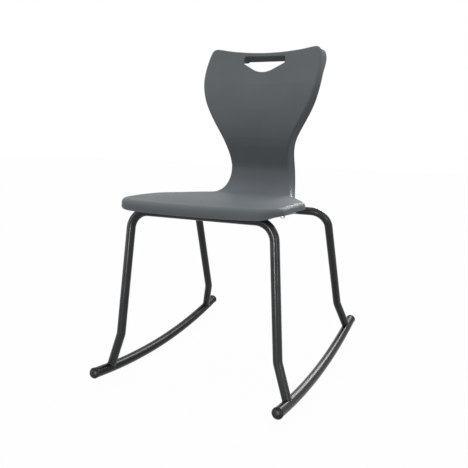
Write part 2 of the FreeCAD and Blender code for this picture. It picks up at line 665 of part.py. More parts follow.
def half_width(run):
    """Half width of the back between its side edges, down to the waist."""
    side, radius = math.radians(size("side_slant")), size("shoulder_radius")
    shoulder = (size("shoulder_run"), size("shoulder_half") - radius)
    if run < shoulder[0] + radius * math.sin(side):
        return shoulder[1] + math.sqrt(radius ** 2 - (run - shoulder[0]) ** 2)
    slant = shoulder[1] + radius / math.cos(side) - (run - shoulder[0]) * math.tan(side)
    return max(slant, size("waist_half"))


def hollow(run, across):
    """Depth of the face behind its side edges, and its slope from side to side."""
    flat = 1.0 - ease(size("hollow_fade_run"), size("hollow_end_run"), run)
    radius = size("hollow_radius")
    return flat * (half_width(run) ** 2 - across ** 2) / (2 * radius), flat * across / radius


def face_point(run, across, depth=0.0):
    """Point that far behind the sitting face, square to it."""
    sunk, slope = hollow(run, across)
    return profile.point(run, across, sunk + depth * math.hypot(1.0, slope))


def edge_point(run, across, out, outward, depth):
    """Point of the edge, from an outline point, its outward normal, a step out and a depth."""
    sunk, slope = hollow(run, across)
    turn = math.atan(slope)
    step = out[1] * outward
    return profile.point(run + out[0] * outward, across + step * math.cos(turn) + depth * math.sin(turn),
                         sunk + depth * math.cos(turn) - step * math.sin(turn))


def edge_offset(run, slope, wall=0.0):
    """Outward step and depth of the rolled edge at a slope, or of its inner side."""
    radius = edge_rounding(run)
    start = math.radians(size("edge_start"))
    outward = radius * (math.sin(slope) - math.sin(start)) - wall * math.sin(slope)
    depth = radius * (math.cos(start) - math.cos(slope)) + wall * math.cos(slope)
    return outward, depth


def edge_run(outline, offset):
    """Points along the left half of the edge, each moved off the outline, run on past the middle."""
    left = []
    for run, across, out in outline:
        left.append(edge_point(run, across, out, *offset(run)))
    before = [Vector(-point.x, point.y, point.z) for point in left[2:0:-1]]
    after = [Vector(-point.x, point.y, point.z) for point in left[-2:-4:-1]]
    return before + left + after


def edge_skin(outline, wall, beyond):
    """Patches of the rolled edge and flange's surface, run on past the face and the rear edge."""
    start = math.radians(size("edge_start"))

    def lead_in(run):
        outward, depth = edge_offset(run, start, wall)
        return outward - CUT_PAST * math.cos(start), depth - CUT_PAST * math.sin(start)

    def rolled(share):
        def offset(run):
            return edge_offset(run, start + (flange_slope(run) - start) * share, wall)
        return offset

    def flange(share):
        def offset(run):
            outward, depth = edge_offset(run, flange_slope(run), wall)
            length = share * (flange_depth(run) + beyond - depth)
            return outward + length / math.tan(flange_slope(run)), depth + length
        return offset

    offsets = [lead_in, *[rolled(step / 3) for step in range(4)], flange(0.5), flange(1.0)]
    base = edge_run(outline, offsets[1])
    knots = [0.0]
    for one, other in zip(base, base[1:]):
        knots.append(knots[-1] + one.distanceToPoint(other))
    wires = []
    for offset in offsets:
        curve = Part.BSplineCurve()
        curve.interpolate(Points=edge_run(outline, offset), Parameters=knots)
        wires.append(Part.Wire(curve.toShape()))
    surface = Part.makeLoft(wires, False, False, False, 3).Faces[0].Surface
    across = surface.bounds()[2:]
    marks = surface.getUKnots()
    marks = marks[:-PATCH_POINTS:PATCH_POINTS] + marks[-1:]
    patches = []
    for one, other in zip(marks, marks[1:]):
        patch = surface.copy()
        patch.segment(one, other, *across)
        patches.append(patch.toShape())
    return patches


def face_slab(depth, rear_depth):
    """Solid over the left half: from a depth behind the face to a rear depth at every run."""
    low, high = -size("top_run") - SLAB_PAST, size("front_run") + SLAB_PAST
    edge = size("seat_half") + SLAB_PAST
    sheets = []
    for deep_at in (lambda run: depth, rear_depth):
        rows = []
        for index in range(SLAB_ROWS * SLAB_BANDS + 1):
            run = low + (high - low) * index / (SLAB_ROWS * SLAB_BANDS)
            marks = [edge * place / SLAB_COLUMNS for place in range(-1, SLAB_COLUMNS + 1)]
            rows.append([face_point(run, across, deep_at(run)) for across in marks])
        surface = Part.BSplineSurface()
        surface.interpolate(rows)
        marks = surface.getUKnots()[::SLAB_ROWS]
        pieces = []
        for one, other in zip(marks, marks[1:]):
            piece = surface.copy()
            piece.segment(one, other, *surface.bounds()[2:])
            pieces.append(piece)
        sheets.append(pieces)

    def border(surface, side):
        """One border of a patch: 0 and 1 are its ends, 2 and 3 its sides."""
        place = surface.bounds()[side]
        curve = surface.uIso(place) if side < 2 else surface.vIso(place)
        return curve.toShape()

    faces = [piece.toShape() for pieces in sheets for piece in pieces]
    for front, rear in zip(*sheets):
        faces += [Part.makeRuledSurface(border(front, side), border(rear, side)) for side in (2, 3)]
    for last, side in ((0, 0), (-1, 1)):
        faces.append(Part.makeRuledSurface(*[border(pieces[last], side) for pieces in sheets]))
    shell = Part.makeShell(faces)
    shell.sewShape()
    slab = Part.Solid(shell)
    run = size("front_run") / 2
    if not slab.isInside(face_point(run, edge / 2, (depth + rear_depth(run)) / 2), 1e-6, False):
        slab.reverse()
    room = Part.makeBox(2 * edge, 4 * high, 4 * high, Vector(0, -2 * high, -2 * high))
    return slab.common(room)


def half_pan(outline, wall, beyond):
    """Left half of the shell's filled form: its outside, or the space inside its wall."""
    slab = face_slab(wall, lambda run: flange_depth(run) + beyond)
    skin = edge_skin(outline, wall, beyond + CUT_PAST)
    pieces = BOPTools.SplitAPI.slice(slab, skin, "Split")
    probe = face_point(size("waist_run"), size("waist_half") / 2, wall + size("seat_flange") / 4)
    for solid in pieces.Solids:
        if solid.isInside(probe, 1e-6, False):
            return solid
    raise RuntimeError("the edge surface doesn't cut the slab")


def grip_prism(spread, depth_from, depth_to):
    """Prism through the upper back in the shape of the hand hole, widened all round."""
    half = size("grip_half") + spread
    top = -size("grip_top_run") - spread
    side = -size("grip_side_run")
    radius = size("grip_bow_radius") + spread
    low = -size("grip_low_run") + spread
    corner = size("grip_corner_radius") + spread
    drop = side - low + radius
    slope = math.asin(radius / math.hypot(half, drop)) - math.atan2(drop, half)
    across = radius * math.sin(slope)
    run = low - radius + radius * math.cos(slope)
    bend = corner * (1 - math.sqrt(0.5))
    middle = hollow(side, 0.0)[0]

    def spot(place_run, place_across):
        return profile.point(place_run, place_across, middle + depth_from)

    edges = [
        Part.LineSegment(spot(top, corner - half), spot(top, half - corner)),
        Part.Arc(spot(top, half - corner), spot(top + bend, half - bend), spot(top + corner, half)),
        Part.LineSegment(spot(top + corner, half), spot(side, half)),
        Part.LineSegment(spot(side, half), spot(run, across)),
        Part.Arc(spot(run, across), spot(low, 0.0), spot(run, -across)),
        Part.LineSegment(spot(run, -across), spot(side, -half)),
        Part.LineSegment(spot(side, -half), spot(top + corner, -half)),
        Part.Arc(spot(top + corner, -half), spot(top + bend, bend - half), spot(top, corner - half)),
    ]
    wire = Part.Wire([edge.toShape() for edge in edges])
    direction = profile.point(top, 0.0, depth_to) - profile.point(top, 0.0, depth_from)
    return Part.Face(wire).extrude(direction)


def grip_lip():
    """Lip behind the top and the sides of the hand hole, tapered at its lower ends."""
    depth = size("top_flange")
    middle = hollow(-size("grip_side_run"), 0.0)[0]
    outer = grip_prism(size("grip_lip_wall"), size("shell_wall") / 4, depth)
    top = -size("grip_top_run") - size("grip_lip_wall") - CUT_PAST
    side = -size("grip_side_run")
    rise = depth * math.tan(math.radians(size("grip_lip_slope")))
    half = size("grip_half") + size("grip_lip_wall") + CUT_PAST
    corners = [(top, 0.0), (side, 0.0), (side - rise, depth), (top, depth)]
    points = [profile.point(run, -half, middle + deep) for run, deep in corners]
    wedge = Part.Face(Part.makePolygon(points + points[:1])).extrude(Vector(2 * half, 0, 0))
    return outer.common(wedge)


def seat_bosses():
    """Four bosses from the seat's underside down to the rails."""
    rail = size("rail_tube_od") / 2
    bosses = []
    for side, end in SCREW_SPOTS:
        frame = rail_frame(side, size(end + "_screw_place"))
        up = frame.Rotation.multVec(Vector(0, 0, 1))
        top = rail
        while under_face(frame.Base + up * top) > size("shell_wall") * 0.7:
            top += size("shell_wall") * 0.1
        boss = Part.makeCylinder(size("boss_od") / 2, top, frame.Base, up)
        tube = Part.makeCylinder(rail, 4 * rail, frame.Base + frame.Rotation.multVec(Vector(0, -2 * rail, 0)),
                                 frame.Rotation.multVec(Vector(0, 1, 0)))
        pilot = Part.makeCylinder(size("screw_shank_od") / 2 + size("pilot_gap"),
                                  rail + size("screw_grip") + size("pilot_spare"), frame.Base, up)
        bosses.append((boss.cut(tube), pilot))
    return bosses


def under_face(point):
    """How far a point lies below the sitting face of the seat."""
    low, high = profile.joints()[3], size("front_run")
    for _ in range(40):
        middle = (low + high) / 2
        y, z = profile.at(middle)
        if y > point.y:
            low = middle
        else:
            high = middle
    return profile.at((low + high) / 2)[1] - point.z


def seat_ribs():
    """Ribs under the seat: one along each rail, and two across at the bosses."""
    thick = size("rib_wall")
    wall, deep = size("shell_wall"), size("rib_depth")
    band = face_slab(wall / 2, lambda run: wall + deep)
    front, rear, across = size("rib_front_y"), size("rib_rear_y"), size("rib_half_width")
    tall = size("seat_low_z") + SLAB_PAST
    middle = size("rail_spacing") / 2
    ribs = [Part.makeBox(thick, rear - front, tall, Vector(middle - thick / 2, front, 0))]
    for end in ("front", "rear"):
        spot = rail_frame(1, size(end + "_screw_place")).Base
        ribs.append(Part.makeBox(across, thick, tall, Vector(0, spot.y - thick / 2, 0)))
    return ribs[0].fuse(ribs[1:]).common(band)


def seat_shell():
    """The whole moulding: pan, hand hole and lip, ribs and bosses."""
    outline = flat_outline()
    outside = half_pan(outline, 0.0, 0.0)
    inside = half_pan(outline, size("shell_wall"), CUT_PAST)
    half = outside.cut(inside).fuse(seat_ribs())
    shell = half.fuse(half.mirror(Vector(0, 0, 0), Vector(1, 0, 0))).removeSplitter()
    shell = shell.fuse(grip_lip())
    shell = shell.cut(grip_prism(0.0, -CUT_PAST, size("top_flange") + CUT_PAST))
    bosses = seat_bosses()
    shell = shell.fuse([boss for boss, _ in bosses])
    for _, pilot in bosses:
        shell = shell.cut(pilot)
    return shell.removeSplitter()


shell = doc.addObject("Part::Feature", "seat_shell")
shell.Shape = seat_shell()


def check_and_write(nodes):
    """Stop if anything failed, then write each sub-part to its own STEP file."""
    doc.recompute()
    for item in doc.Objects:
        if "Invalid" in item.State or "Error" in item.State:
            raise RuntimeError(f"{item.Name} failed: {item.State}")
    os.makedirs("parts", exist_ok=True)
    for node in nodes:
        if node.Shape.isNull() or not node.Shape.isValid():
            raise RuntimeError(f"{node.Label} has no valid shape")
        node.Shape.exportStep(f"parts/{node.Label}.step")
        box = node.Shape.BoundBox
        print(f"{node.Label}: {len(node.Shape.Solids)} solid(s), {node.Shape.Volume / 1000:.2f} cm3, "
              f"x {box.XMin:.1f}..{box.XMax:.1f} y {box.YMin:.1f}..{box.YMax:.1f} z {box.ZMin:.1f}..{box.ZMax:.1f}")


check_and_write([shell, *hoops.values(), *rockers.values(), *rails.values(), *caps.values(), screws, washers])
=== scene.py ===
import math

import bmesh
import bpy
from mathutils import Matrix, Vector


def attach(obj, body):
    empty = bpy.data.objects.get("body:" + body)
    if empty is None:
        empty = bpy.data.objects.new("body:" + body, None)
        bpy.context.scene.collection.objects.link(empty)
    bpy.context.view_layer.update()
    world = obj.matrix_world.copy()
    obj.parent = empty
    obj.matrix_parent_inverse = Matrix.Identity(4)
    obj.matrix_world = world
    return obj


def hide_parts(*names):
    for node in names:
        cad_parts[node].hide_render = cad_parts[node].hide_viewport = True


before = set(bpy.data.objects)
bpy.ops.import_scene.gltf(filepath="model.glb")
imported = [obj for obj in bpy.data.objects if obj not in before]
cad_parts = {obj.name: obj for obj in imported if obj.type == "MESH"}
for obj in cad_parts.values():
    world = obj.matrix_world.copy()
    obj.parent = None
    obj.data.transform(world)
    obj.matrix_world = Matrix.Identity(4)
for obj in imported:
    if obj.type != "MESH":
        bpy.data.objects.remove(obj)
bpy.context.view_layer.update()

# Rockers: two steel tubes rolled to one long arc, which the whole chair rocks on.
# They carry a dark grey powder coat, smoother and glossier than on the legs,
# with the faint orange peel that baked powder keeps.

SIDES = (("left", 1), ("right", -1))  # the sitter's left lies toward +X
TRACK_HALF = 0.2375  # from the middle of the chair to a rocker's centre line
ROCKER_RADIUS = 1.840  # of the arc, at the tube's centre line
ROCKER_REACH = 0.326  # straight from the arc's middle to each end
ROCKER_TUBE = 0.0127  # outer radius of the tube
ROCKER_WALL = 0.0020
ROCKER_LOW_Y = -0.0118  # where the rockers touch the floor
TUBE_FACETS = 48
ARC_STEPS = 72
arc_half = math.asin(ROCKER_REACH / ROCKER_RADIUS)
arc_turn = math.asin(ROCKER_LOW_Y / ROCKER_RADIUS)  # from the arc's middle to its lowest point


def hex_to_linear(code):
    """Linear colour with alpha, from a hex colour as a paint chart gives it."""
    tones = [int(code[place:place + 2], 16) / 255 for place in (1, 3, 5)]
    return [tone / 12.92 if tone <= 0.04045 else ((tone + 0.055) / 1.055) ** 2.4
            for tone in tones] + [1.0]


def add_node(material, kind, settings=None, **links):
    """One node of a material or world, with its settings and the sockets that feed it."""
    node = material.node_tree.nodes.new(kind)
    for name, value in (settings or {}).items():
        if name in node.inputs:
            node.inputs[name].default_value = value
        else:
            setattr(node, name, value)
    for name, source in links.items():
        material.node_tree.links.new(source, node.inputs[name.replace("_", " ")])
    return node


def powder_coat(name, colour, deep_colour, roughness, peel, gleam):
    """Baked powder coat: a soft gloss that wavers with the orange peel and the film."""
    coat = bpy.data.materials.new(name)
    coat.use_nodes = True
    shader = coat.node_tree.nodes["Principled BSDF"]
    shader.inputs["Specular IOR Level"].default_value = gleam
    shader.inputs["IOR"].default_value = 1.5
    place = add_node(coat, "ShaderNodeTexCoord")
    # The film is a little thicker, darker and glossier in soft patches about 60 mm long
    patches = add_node(coat, "ShaderNodeTexNoise", {"Scale": 16.0, "Detail": 2.0},
                       Vector=place.outputs["Object"])
    shade = add_node(coat, "ShaderNodeValToRGB", Fac=patches.outputs["Fac"])
    shade.color_ramp.elements[0].position = 0.3
    shade.color_ramp.elements[0].color = hex_to_linear(deep_colour)
    shade.color_ramp.elements[1].position = 0.7
    shade.color_ramp.elements[1].color = hex_to_linear(colour)
    coat.node_tree.links.new(shade.outputs["Color"], shader.inputs["Base Color"])
    gloss = add_node(coat, "ShaderNodeMapRange",
                     {"To Min": roughness - 0.03, "To Max": roughness + 0.05},
                     Value=patches.outputs["Fac"])
    coat.node_tree.links.new(gloss.outputs["Result"], shader.inputs["Roughness"])
    # The orange peel's real cells are about 1 mm, drawn at 5 mm so that they show
    cells = add_node(coat, "ShaderNodeTexNoise", {"Scale": 200.0, "Detail": 1.0},
                     Vector=place.outputs["Object"])
    bumps = add_node(coat, "ShaderNodeBump", {"Strength": peel, "Distance": 0.0002},
                     Height=cells.outputs["Fac"])
    coat.node_tree.links.new(bumps.outputs["Normal"], shader.inputs["Normal"])
    return coat


def rocker_end(side, end):
    """Angle of the arc at a rocker's end, and the middle of the tube's mouth there."""
    angle = end * arc_half - arc_turn
    return angle, Vector((side * TRACK_HALF, ROCKER_LOW_Y + ROCKER_RADIUS * math.sin(angle),
                          ROCKER_RADIUS + ROCKER_TUBE - ROCKER_RADIUS * math.cos(angle)))


def add_piece(name, data):
    """Put a mesh, a curve, a lamp or a camera into the scene."""
    piece = bpy.data.objects.new(name, data)
    bpy.context.scene.collection.objects.link(piece)
    return piece


def smooth_piece(name, shape, crease, material):
    """Make a shape a smooth piece, with edges where it bends by more degrees than the crease."""
    for face in shape.faces:
        face.smooth = True
    mesh = bpy.data.meshes.new(name)
    shape.to_mesh(mesh)
    shape.free()
    mesh.set_sharp_from_angle(angle=math.radians(crease))
    mesh.materials.append(material)
    return add_piece(name, mesh)


def rolled_tube(name, side, material):
    """One rocker: the tube's two rings, swept along the arc and closed at its ends."""
    angle, mouth = rocker_end(side, -1)
    stand = Matrix.Translation(mouth) @ Matrix.Rotation(angle - math.pi / 2, 4, "X")
    tube = bmesh.new()
    for radius in (ROCKER_TUBE, ROCKER_TUBE - ROCKER_WALL):
        bmesh.ops.create_circle(tube, segments=TUBE_FACETS, radius=radius, cap_ends=False,
                                matrix=stand)
    first = tube.edges[:]
    swept = bmesh.ops.spin(tube, geom=tube.verts[:] + first, angle=2 * arc_half,
                           steps=ARC_STEPS, axis=(1, 0, 0), dvec=(0, 0, 0), use_merge=False,
                           cent=(0, ROCKER_LOW_Y, ROCKER_RADIUS + ROCKER_TUBE))
    last = [item for item in swept["geom_last"] if isinstance(item, bmesh.types.BMEdge)]
    for rings in (first, last):
        bmesh.ops.bridge_loops(tube, edges=rings)
    bmesh.ops.recalc_face_normals(tube, faces=tube.faces[:])
    return smooth_piece(name, tube, crease=50, material=material)


rocker_coat = powder_coat("glossy_powder_coat", "#1a1b1d", "#161718",
                          roughness=0.26, peel=0.02, gleam=0.12)
for side_name, side in SIDES:
    rocker = rolled_tube(f"{side_name}_rocker_tube", side, rocker_coat)
    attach(rocker, "root")
    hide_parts(f"{side_name}_rocker")

# End caps: black polyethylene plugs, moulded with a domed head and a thin collar.
# Each is knocked into the open end of a rocker tube and held by three barbs.

CAP_PROFILE = [  # radius, and height over the mouth of the tube
    (0.0, 0.0080), (0.0030, 0.0079), (0.0060, 0.0074), (0.0088, 0.0064), (0.0110, 0.0049),
    (0.0125, 0.0031), (0.01315, 0.0018), (0.0132, 0.0013), (0.0135, 0.0011), (0.0135, 0.0),
    (0.0106, 0.0), (0.0105, -0.003), (0.0107, -0.004), (0.0101, -0.007), (0.0107, -0.008),
    (0.0101, -0.011), (0.0107, -0.012), (0.0098, -0.016), (0.0, -0.016)]


def moulded_black():
    """Black polyethylene: waxy skin, satin gloss, and fine scuffs from the floor."""
    plug = bpy.data.materials.new("black_polyethylene")
    plug.use_nodes = True
    shader = plug.node_tree.nodes["Principled BSDF"]
    shader.inputs["IOR"].default_value = 1.51
    shader.inputs["Specular IOR Level"].default_value = 0.25
    place = add_node(plug, "ShaderNodeTexCoord")
    # Scuffs are scratches well under 1 mm wide, drawn as marks of 4 mm so that they show
    scuffs = add_node(plug, "ShaderNodeTexNoise",
                      {"Scale": 240.0, "Detail": 4.0, "Roughness": 0.65},
                      Vector=place.outputs["Object"])
    shade = add_node(plug, "ShaderNodeValToRGB", Fac=scuffs.outputs["Fac"])
    shade.color_ramp.elements[0].position = 0.35
    shade.color_ramp.elements[0].color = hex_to_linear("#111213")
    shade.color_ramp.elements[1].position = 0.75
    shade.color_ramp.elements[1].color = hex_to_linear("#1a1b1c")
    plug.node_tree.links.new(shade.outputs["Color"], shader.inputs["Base Color"])
    gloss = add_node(plug, "ShaderNodeMapRange", {"To Min": 0.34, "To Max": 0.52},
                     Value=scuffs.outputs["Fac"])
    plug.node_tree.links.new(gloss.outputs["Result"], shader.inputs["Roughness"])
    bumps = add_node(plug, "ShaderNodeBump", {"Strength": 0.2, "Distance": 0.0002},
                     Height=scuffs.outputs["Fac"])
    plug.node_tree.links.new(bumps.outputs["Normal"], shader.inputs["Normal"])
    return plug


def turn_profile(shape, profile, facets):
    """Turn a profile once round the Z axis, as on a lathe."""
    corners = [shape.verts.new((radius, 0.0, height)) for radius, height in profile]
    lines = [shape.edges.new(pair) for pair in zip(corners, corners[1:])]
    bmesh.ops.spin(shape, geom=corners + lines, cent=(0, 0, 0), axis=(0, 0, 1),
                   dvec=(0, 0, 0), angle=2 * math.pi, steps=facets, use_merge=True)


def cap_plug(name, stand, material):
    """One cap, turned from its profile and set in the mouth of its tube."""
    plug = bmesh.new()
    turn_profile(plug, CAP_PROFILE, TUBE_FACETS)
    bmesh.ops.remove_doubles(plug, verts=plug.verts[:], dist=1e-6)
    bmesh.ops.recalc_face_normals(plug, faces=plug.faces[:])
    bmesh.ops.transform(plug, matrix=stand, verts=plug.verts[:])
    return smooth_piece(name, plug, crease=38, material=material)


cap_plastic = moulded_black()
for side_name, side in SIDES:
    for end_name, end in (("front", -1), ("rear", 1)):
        angle, mouth = rocker_end(side, end)
        tip = Matrix.Rotation(angle - end * math.pi / 2, 4, "X")
        cap = cap_plug(f"{end_name}_{side_name}_cap_plug", Matrix.Translation(mouth) @ tip,
                       cap_plastic)
        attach(cap, "root")
        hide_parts(f"{end_name}_{side_name}_cap")

# Leg hoops: each pair of legs and its crossbar are one steel tube, bent cold and
# powder coated in a satin dark grey. Their feet are coped to the rockers and
# joined by a narrow weld bead all round, under the same coat.

LEG_TUBE = 0.011  # outer radius of the leg tube
FOOT_JOINTS = {  # where a foot meets the rocker's centre line, and the bend above that foot
    "front": (Vector((TRACK_HALF, -0.2599, 0.02950)), Vector((0.2084, -0.2517, 0.12055))),
    "rear": (Vector((TRACK_HALF, 0.2742, 0.03506)), Vector((0.2125, 0.2451, 0.11530))),
}
BEAD = 0.0012  # radius of a weld bead
BEAD_POINTS = 32


def dress(name, material):
    """Give a part of the chair that keeps its own shape its finish."""
    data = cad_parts[name].data
    data.materials.clear()
    data.materials.append(material)


def weld_bead(name, joint, toward, tube, bar, bar_way):
    """Bead round the end of a tube, which comes from a point toward the joint on a bar.

    The tube and the bar are given by their radii. Each line along the tube's wall is
    followed from the joint until it leaves the bar.
    """
    way = (toward - joint).normalized()
    across = way.cross(bar_way).normalized()
    along = across.cross(way)
    flat_way = way - bar_way * way.dot(bar_way)
    bead = bpy.data.curves.new(name, "CURVE")
    bead.dimensions = "3D"
    bead.bevel_depth = BEAD
    bead.bevel_resolution = 3
    seam = bead.splines.new("NURBS")
    seam.points.add(BEAD_POINTS - 1)
    for index, point in enumerate(seam.points):
        turn = 2 * math.pi * index / BEAD_POINTS
        spot = tube * (math.cos(turn) * across + math.sin(turn) * along)
        flat_spot = spot - bar_way * spot.dot(bar_way)
        lean = flat_spot.dot(flat_way) / flat_way.length_squared
        depth = (bar ** 2 - flat_spot.length_squared) / flat_way.length_squared
        reach = math.sqrt(max(0.0, lean ** 2 + depth)) - lean
        point.co = (*(joint + spot + way * reach), 1.0)
    seam.use_cyclic_u = True
    seam.order_u = 4
    bead.materials.append(leg_coat)
    piece = add_piece(name, bead)
    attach(piece, "root")


leg_coat = powder_coat("satin_powder_coat", "#454849", "#3e4142",
                       roughness=0.24, peel=0.05, gleam=0.2)
for hoop in ("front_leg_hoop", "rear_leg_hoop"):
    dress(hoop, leg_coat)
for side_name, side in SIDES:
    mirror = Vector((side, 1, 1))
    for end_name, (foot, bend) in FOOT_JOINTS.items():
        rise = (foot.y - ROCKER_LOW_Y) / ROCKER_RADIUS
        rocker_way = Vector((0.0, math.cos(math.asin(rise)), rise))
        weld_bead(f"{end_name}_{side_name}_foot_weld", foot * mirror, bend * mirror, LEG_TUBE,
                  ROCKER_TUBE, rocker_way)

# Seat rails: two straight steel tubes, welded between the crossbars and drilled
# for the seat's screws. They have the legs' powder coat.

RAIL_HALF = 0.110  # from the middle of the chair to a rail's centre line
RAIL_TUBE = 0.010  # outer radius of a rail
FRONT_BAR = Vector((0.0, -0.2239, 0.4311))  # middle of the front crossbar
REAR_BAR = Vector((0.0, 0.1415, 0.4012))  # middle of the rear crossbar

for side_name, side in SIDES:
    dress(f"{side_name}_seat_rail", leg_coat)
    shift = Vector((side * RAIL_HALF, 0.0, 0.0))
    for end_name, near, far in (("front", FRONT_BAR, REAR_BAR), ("rear", REAR_BAR, FRONT_BAR)):
        weld_bead(f"{end_name}_{side_name}_rail_weld", near + shift, far + shift, RAIL_TUBE,
                  LEG_TUBE, Vector((1.0, 0.0, 0.0)))

# Screws and washers: four thread-forming screws of zinc-plated steel, driven from
# below with a hexagon key through washers and rails into the seat's bosses.

SCREW_PLACES = (0.070, 0.262)  # along a rail, from the front crossbar
WASHER = 0.0016  # thickness of a washer
HEAD_HEIGHT = 0.0042
HEAD_PROFILE = [  # radius, and height over the head's seat: the thread points up
    (0.0029, -HEAD_HEIGHT), (0.0038, -0.0041), (0.0049, -0.0036), (0.0057, -0.0025),
    (0.0060, -0.0012), (0.0060, 0.0), (0.0026, 0.0), (0.0026, 0.0306)]
SOCKET_RADIUS = 0.0023  # of the hexagon, out to its corners
SOCKET_DEPTH = 0.0024
THREAD_START = 0.0206  # over the head's seat
THREAD_ROOT = 0.0025  # radius, just inside the shank
THREAD_CREST = 0.0030  # radius
THREAD_FLANK = 0.0005  # height of each flank of the thread
THREAD_PITCH = 0.0011
THREAD_TURNS = 8
SCREW_FACETS = 24


def zinc_plate():
    """Bright zinc plate on steel: metal with a slight blue cast and a soft, patchy gloss."""
    plate = bpy.data.materials.new("zinc_plated_steel")
    plate.use_nodes = True
    shader = plate.node_tree.nodes["Principled BSDF"]
    shader.inputs["Metallic"].default_value = 1.0
    place = add_node(plate, "ShaderNodeTexCoord")
    # The plate's crystals are far finer, drawn at 1.1 mm so that they show
    crystals = add_node(plate, "ShaderNodeTexNoise", {"Scale": 900.0, "Detail": 3.0},
                        Vector=place.outputs["Object"])
    shade = add_node(plate, "ShaderNodeValToRGB", Fac=crystals.outputs["Fac"])
    shade.color_ramp.elements[0].color = hex_to_linear("#8d9194")
    shade.color_ramp.elements[1].color = hex_to_linear("#b4b8ba")
    plate.node_tree.links.new(shade.outputs["Color"], shader.inputs["Base Color"])
    gloss = add_node(plate, "ShaderNodeMapRange", {"To Min": 0.26, "To Max": 0.44},
                     Value=crystals.outputs["Fac"])
    plate.node_tree.links.new(gloss.outputs["Result"], shader.inputs["Roughness"])
    return plate


def add_screw(group, stand):
    """One screw, its thread pointing up: domed head, hexagon socket, shank and thread."""
    screw = bmesh.new()
    turn_profile(screw, HEAD_PROFILE, SCREW_FACETS)
    rim = [edge for edge in screw.edges if edge.is_boundary and edge.verts[0].co.z < 0]
    socket = bmesh.ops.create_circle(screw, segments=6, radius=SOCKET_RADIUS, cap_ends=False,
                                     matrix=Matrix.Translation((0, 0, -HEAD_HEIGHT)))
    hexagon = [edge for edge in screw.edges if edge.verts[0] in socket["verts"]]
    bmesh.ops.bridge_loops(screw, edges=rim + hexagon)
    walls = bmesh.ops.extrude_edge_only(screw, edges=hexagon)
    bottom = [item for item in walls["geom"] if isinstance(item, bmesh.types.BMVert)]
    bmesh.ops.translate(screw, verts=bottom, vec=(0, 0, SOCKET_DEPTH))
    bmesh.ops.contextual_create(screw, geom=bottom)
    ridge = [screw.verts.new((radius, 0, THREAD_START + step * THREAD_FLANK))
             for step, radius in enumerate((THREAD_ROOT, THREAD_CREST, THREAD_ROOT))]
    flanks = [screw.edges.new(pair) for pair in zip(ridge, ridge[1:])]
    bmesh.ops.spin(screw, geom=ridge + flanks, cent=(0, 0, 0), axis=(0, 0, 1),
                   dvec=(0, 0, THREAD_PITCH / SCREW_FACETS), use_merge=False,
                   angle=2 * math.pi * THREAD_TURNS, steps=SCREW_FACETS * THREAD_TURNS)
    bmesh.ops.recalc_face_normals(screw, faces=screw.faces[:])
    bmesh.ops.transform(screw, matrix=stand, verts=screw.verts[:])
    single = bpy.data.meshes.new("screw")
    screw.to_mesh(single)
    screw.free()
    group.from_mesh(single)
    bpy.data.meshes.remove(single)


zinc = zinc_plate()
dress("seat_washers", zinc)
rail_way = (REAR_BAR - FRONT_BAR).normalized()
rail_fall = math.atan2(FRONT_BAR.z - REAR_BAR.z, REAR_BAR.y - FRONT_BAR.y)
tilt = Matrix.Rotation(-rail_fall, 4, "X")
under_rail = Matrix.Translation((0, 0, -RAIL_TUBE - WASHER))
all_screws = bmesh.new()
for _, side in SIDES:
    for along in SCREW_PLACES:
        spot = FRONT_BAR + Vector((side * RAIL_HALF, 0.0, 0.0)) + rail_way * along
        add_screw(all_screws, Matrix.Translation(spot) @ tilt @ under_rail)
seat_screw_set = smooth_piece("seat_screw_set", all_screws, crease=35, material=zinc)
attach(seat_screw_set, "root")
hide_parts("seat_screws")

# Seat shell: one injection moulding of mid grey polypropylene, seat and back in
# one, with a rolled flange all round. It is screwed to the rails from below.


def moulded_grey():
    """Moulded polypropylene: spark-eroded grain, soft sheen, faint flow marks in the colour."""
    plastic = bpy.data.materials.new("moulded_polypropylene")
    plastic.use_nodes = True
    shader = plastic.node_tree.nodes["Principled BSDF"]
    shader.inputs["IOR"].default_value = 1.49
    shader.inputs["Specular IOR Level"].default_value = 0.12
    place = add_node(plastic, "ShaderNodeTexCoord")
    # Flow marks of the melt: soft clouds of about 120 mm, a shade apart
    flow = add_node(plastic, "ShaderNodeTexNoise", {"Scale": 8.0, "Detail": 2.0},
                    Vector=place.outputs["Object"])
    shade = add_node(plastic, "ShaderNodeValToRGB", Fac=flow.outputs["Fac"])
    shade.color_ramp.elements[0].position = 0.3
    shade.color_ramp.elements[0].color = hex_to_linear("#747a7e")
    shade.color_ramp.elements[1].position = 0.7
    shade.color_ramp.elements[1].color = hex_to_linear("#7b8185")
    # The grain's pits are about 0.3 mm, drawn at 1.2 mm so that they show
    grain = add_node(plastic, "ShaderNodeTexNoise",
                     {"Scale": 820.0, "Detail": 2.0, "Roughness": 0.6},
                     Vector=place.outputs["Object"])
    pits = add_node(plastic, "ShaderNodeMapRange", {"To Min": 0.93, "To Max": 1.05},
                    Value=grain.outputs["Fac"])
    speckle = add_node(plastic, "ShaderNodeVectorMath", {"operation": "SCALE"},
                       Scale=pits.outputs["Result"])
    plastic.node_tree.links.new(shade.outputs["Color"], speckle.inputs[0])
    plastic.node_tree.links.new(speckle.outputs["Vector"], shader.inputs["Base Color"])
    gloss = add_node(plastic, "ShaderNodeMapRange", {"To Min": 0.5, "To Max": 0.62},
                     Value=grain.outputs["Fac"])
    plastic.node_tree.links.new(gloss.outputs["Result"], shader.inputs["Roughness"])
    bumps = add_node(plastic, "ShaderNodeBump", {"Strength": 0.18, "Distance": 0.0003},
                     Height=grain.outputs["Fac"])
    plastic.node_tree.links.new(bumps.outputs["Normal"], shader.inputs["Normal"])
    return plastic


dress("seat_shell", moulded_grey())

# Studio floor: a plain pale floor that keeps the chair's shadow. What the camera
# or a glossy surface sees of it is white, and it throws little light back up.

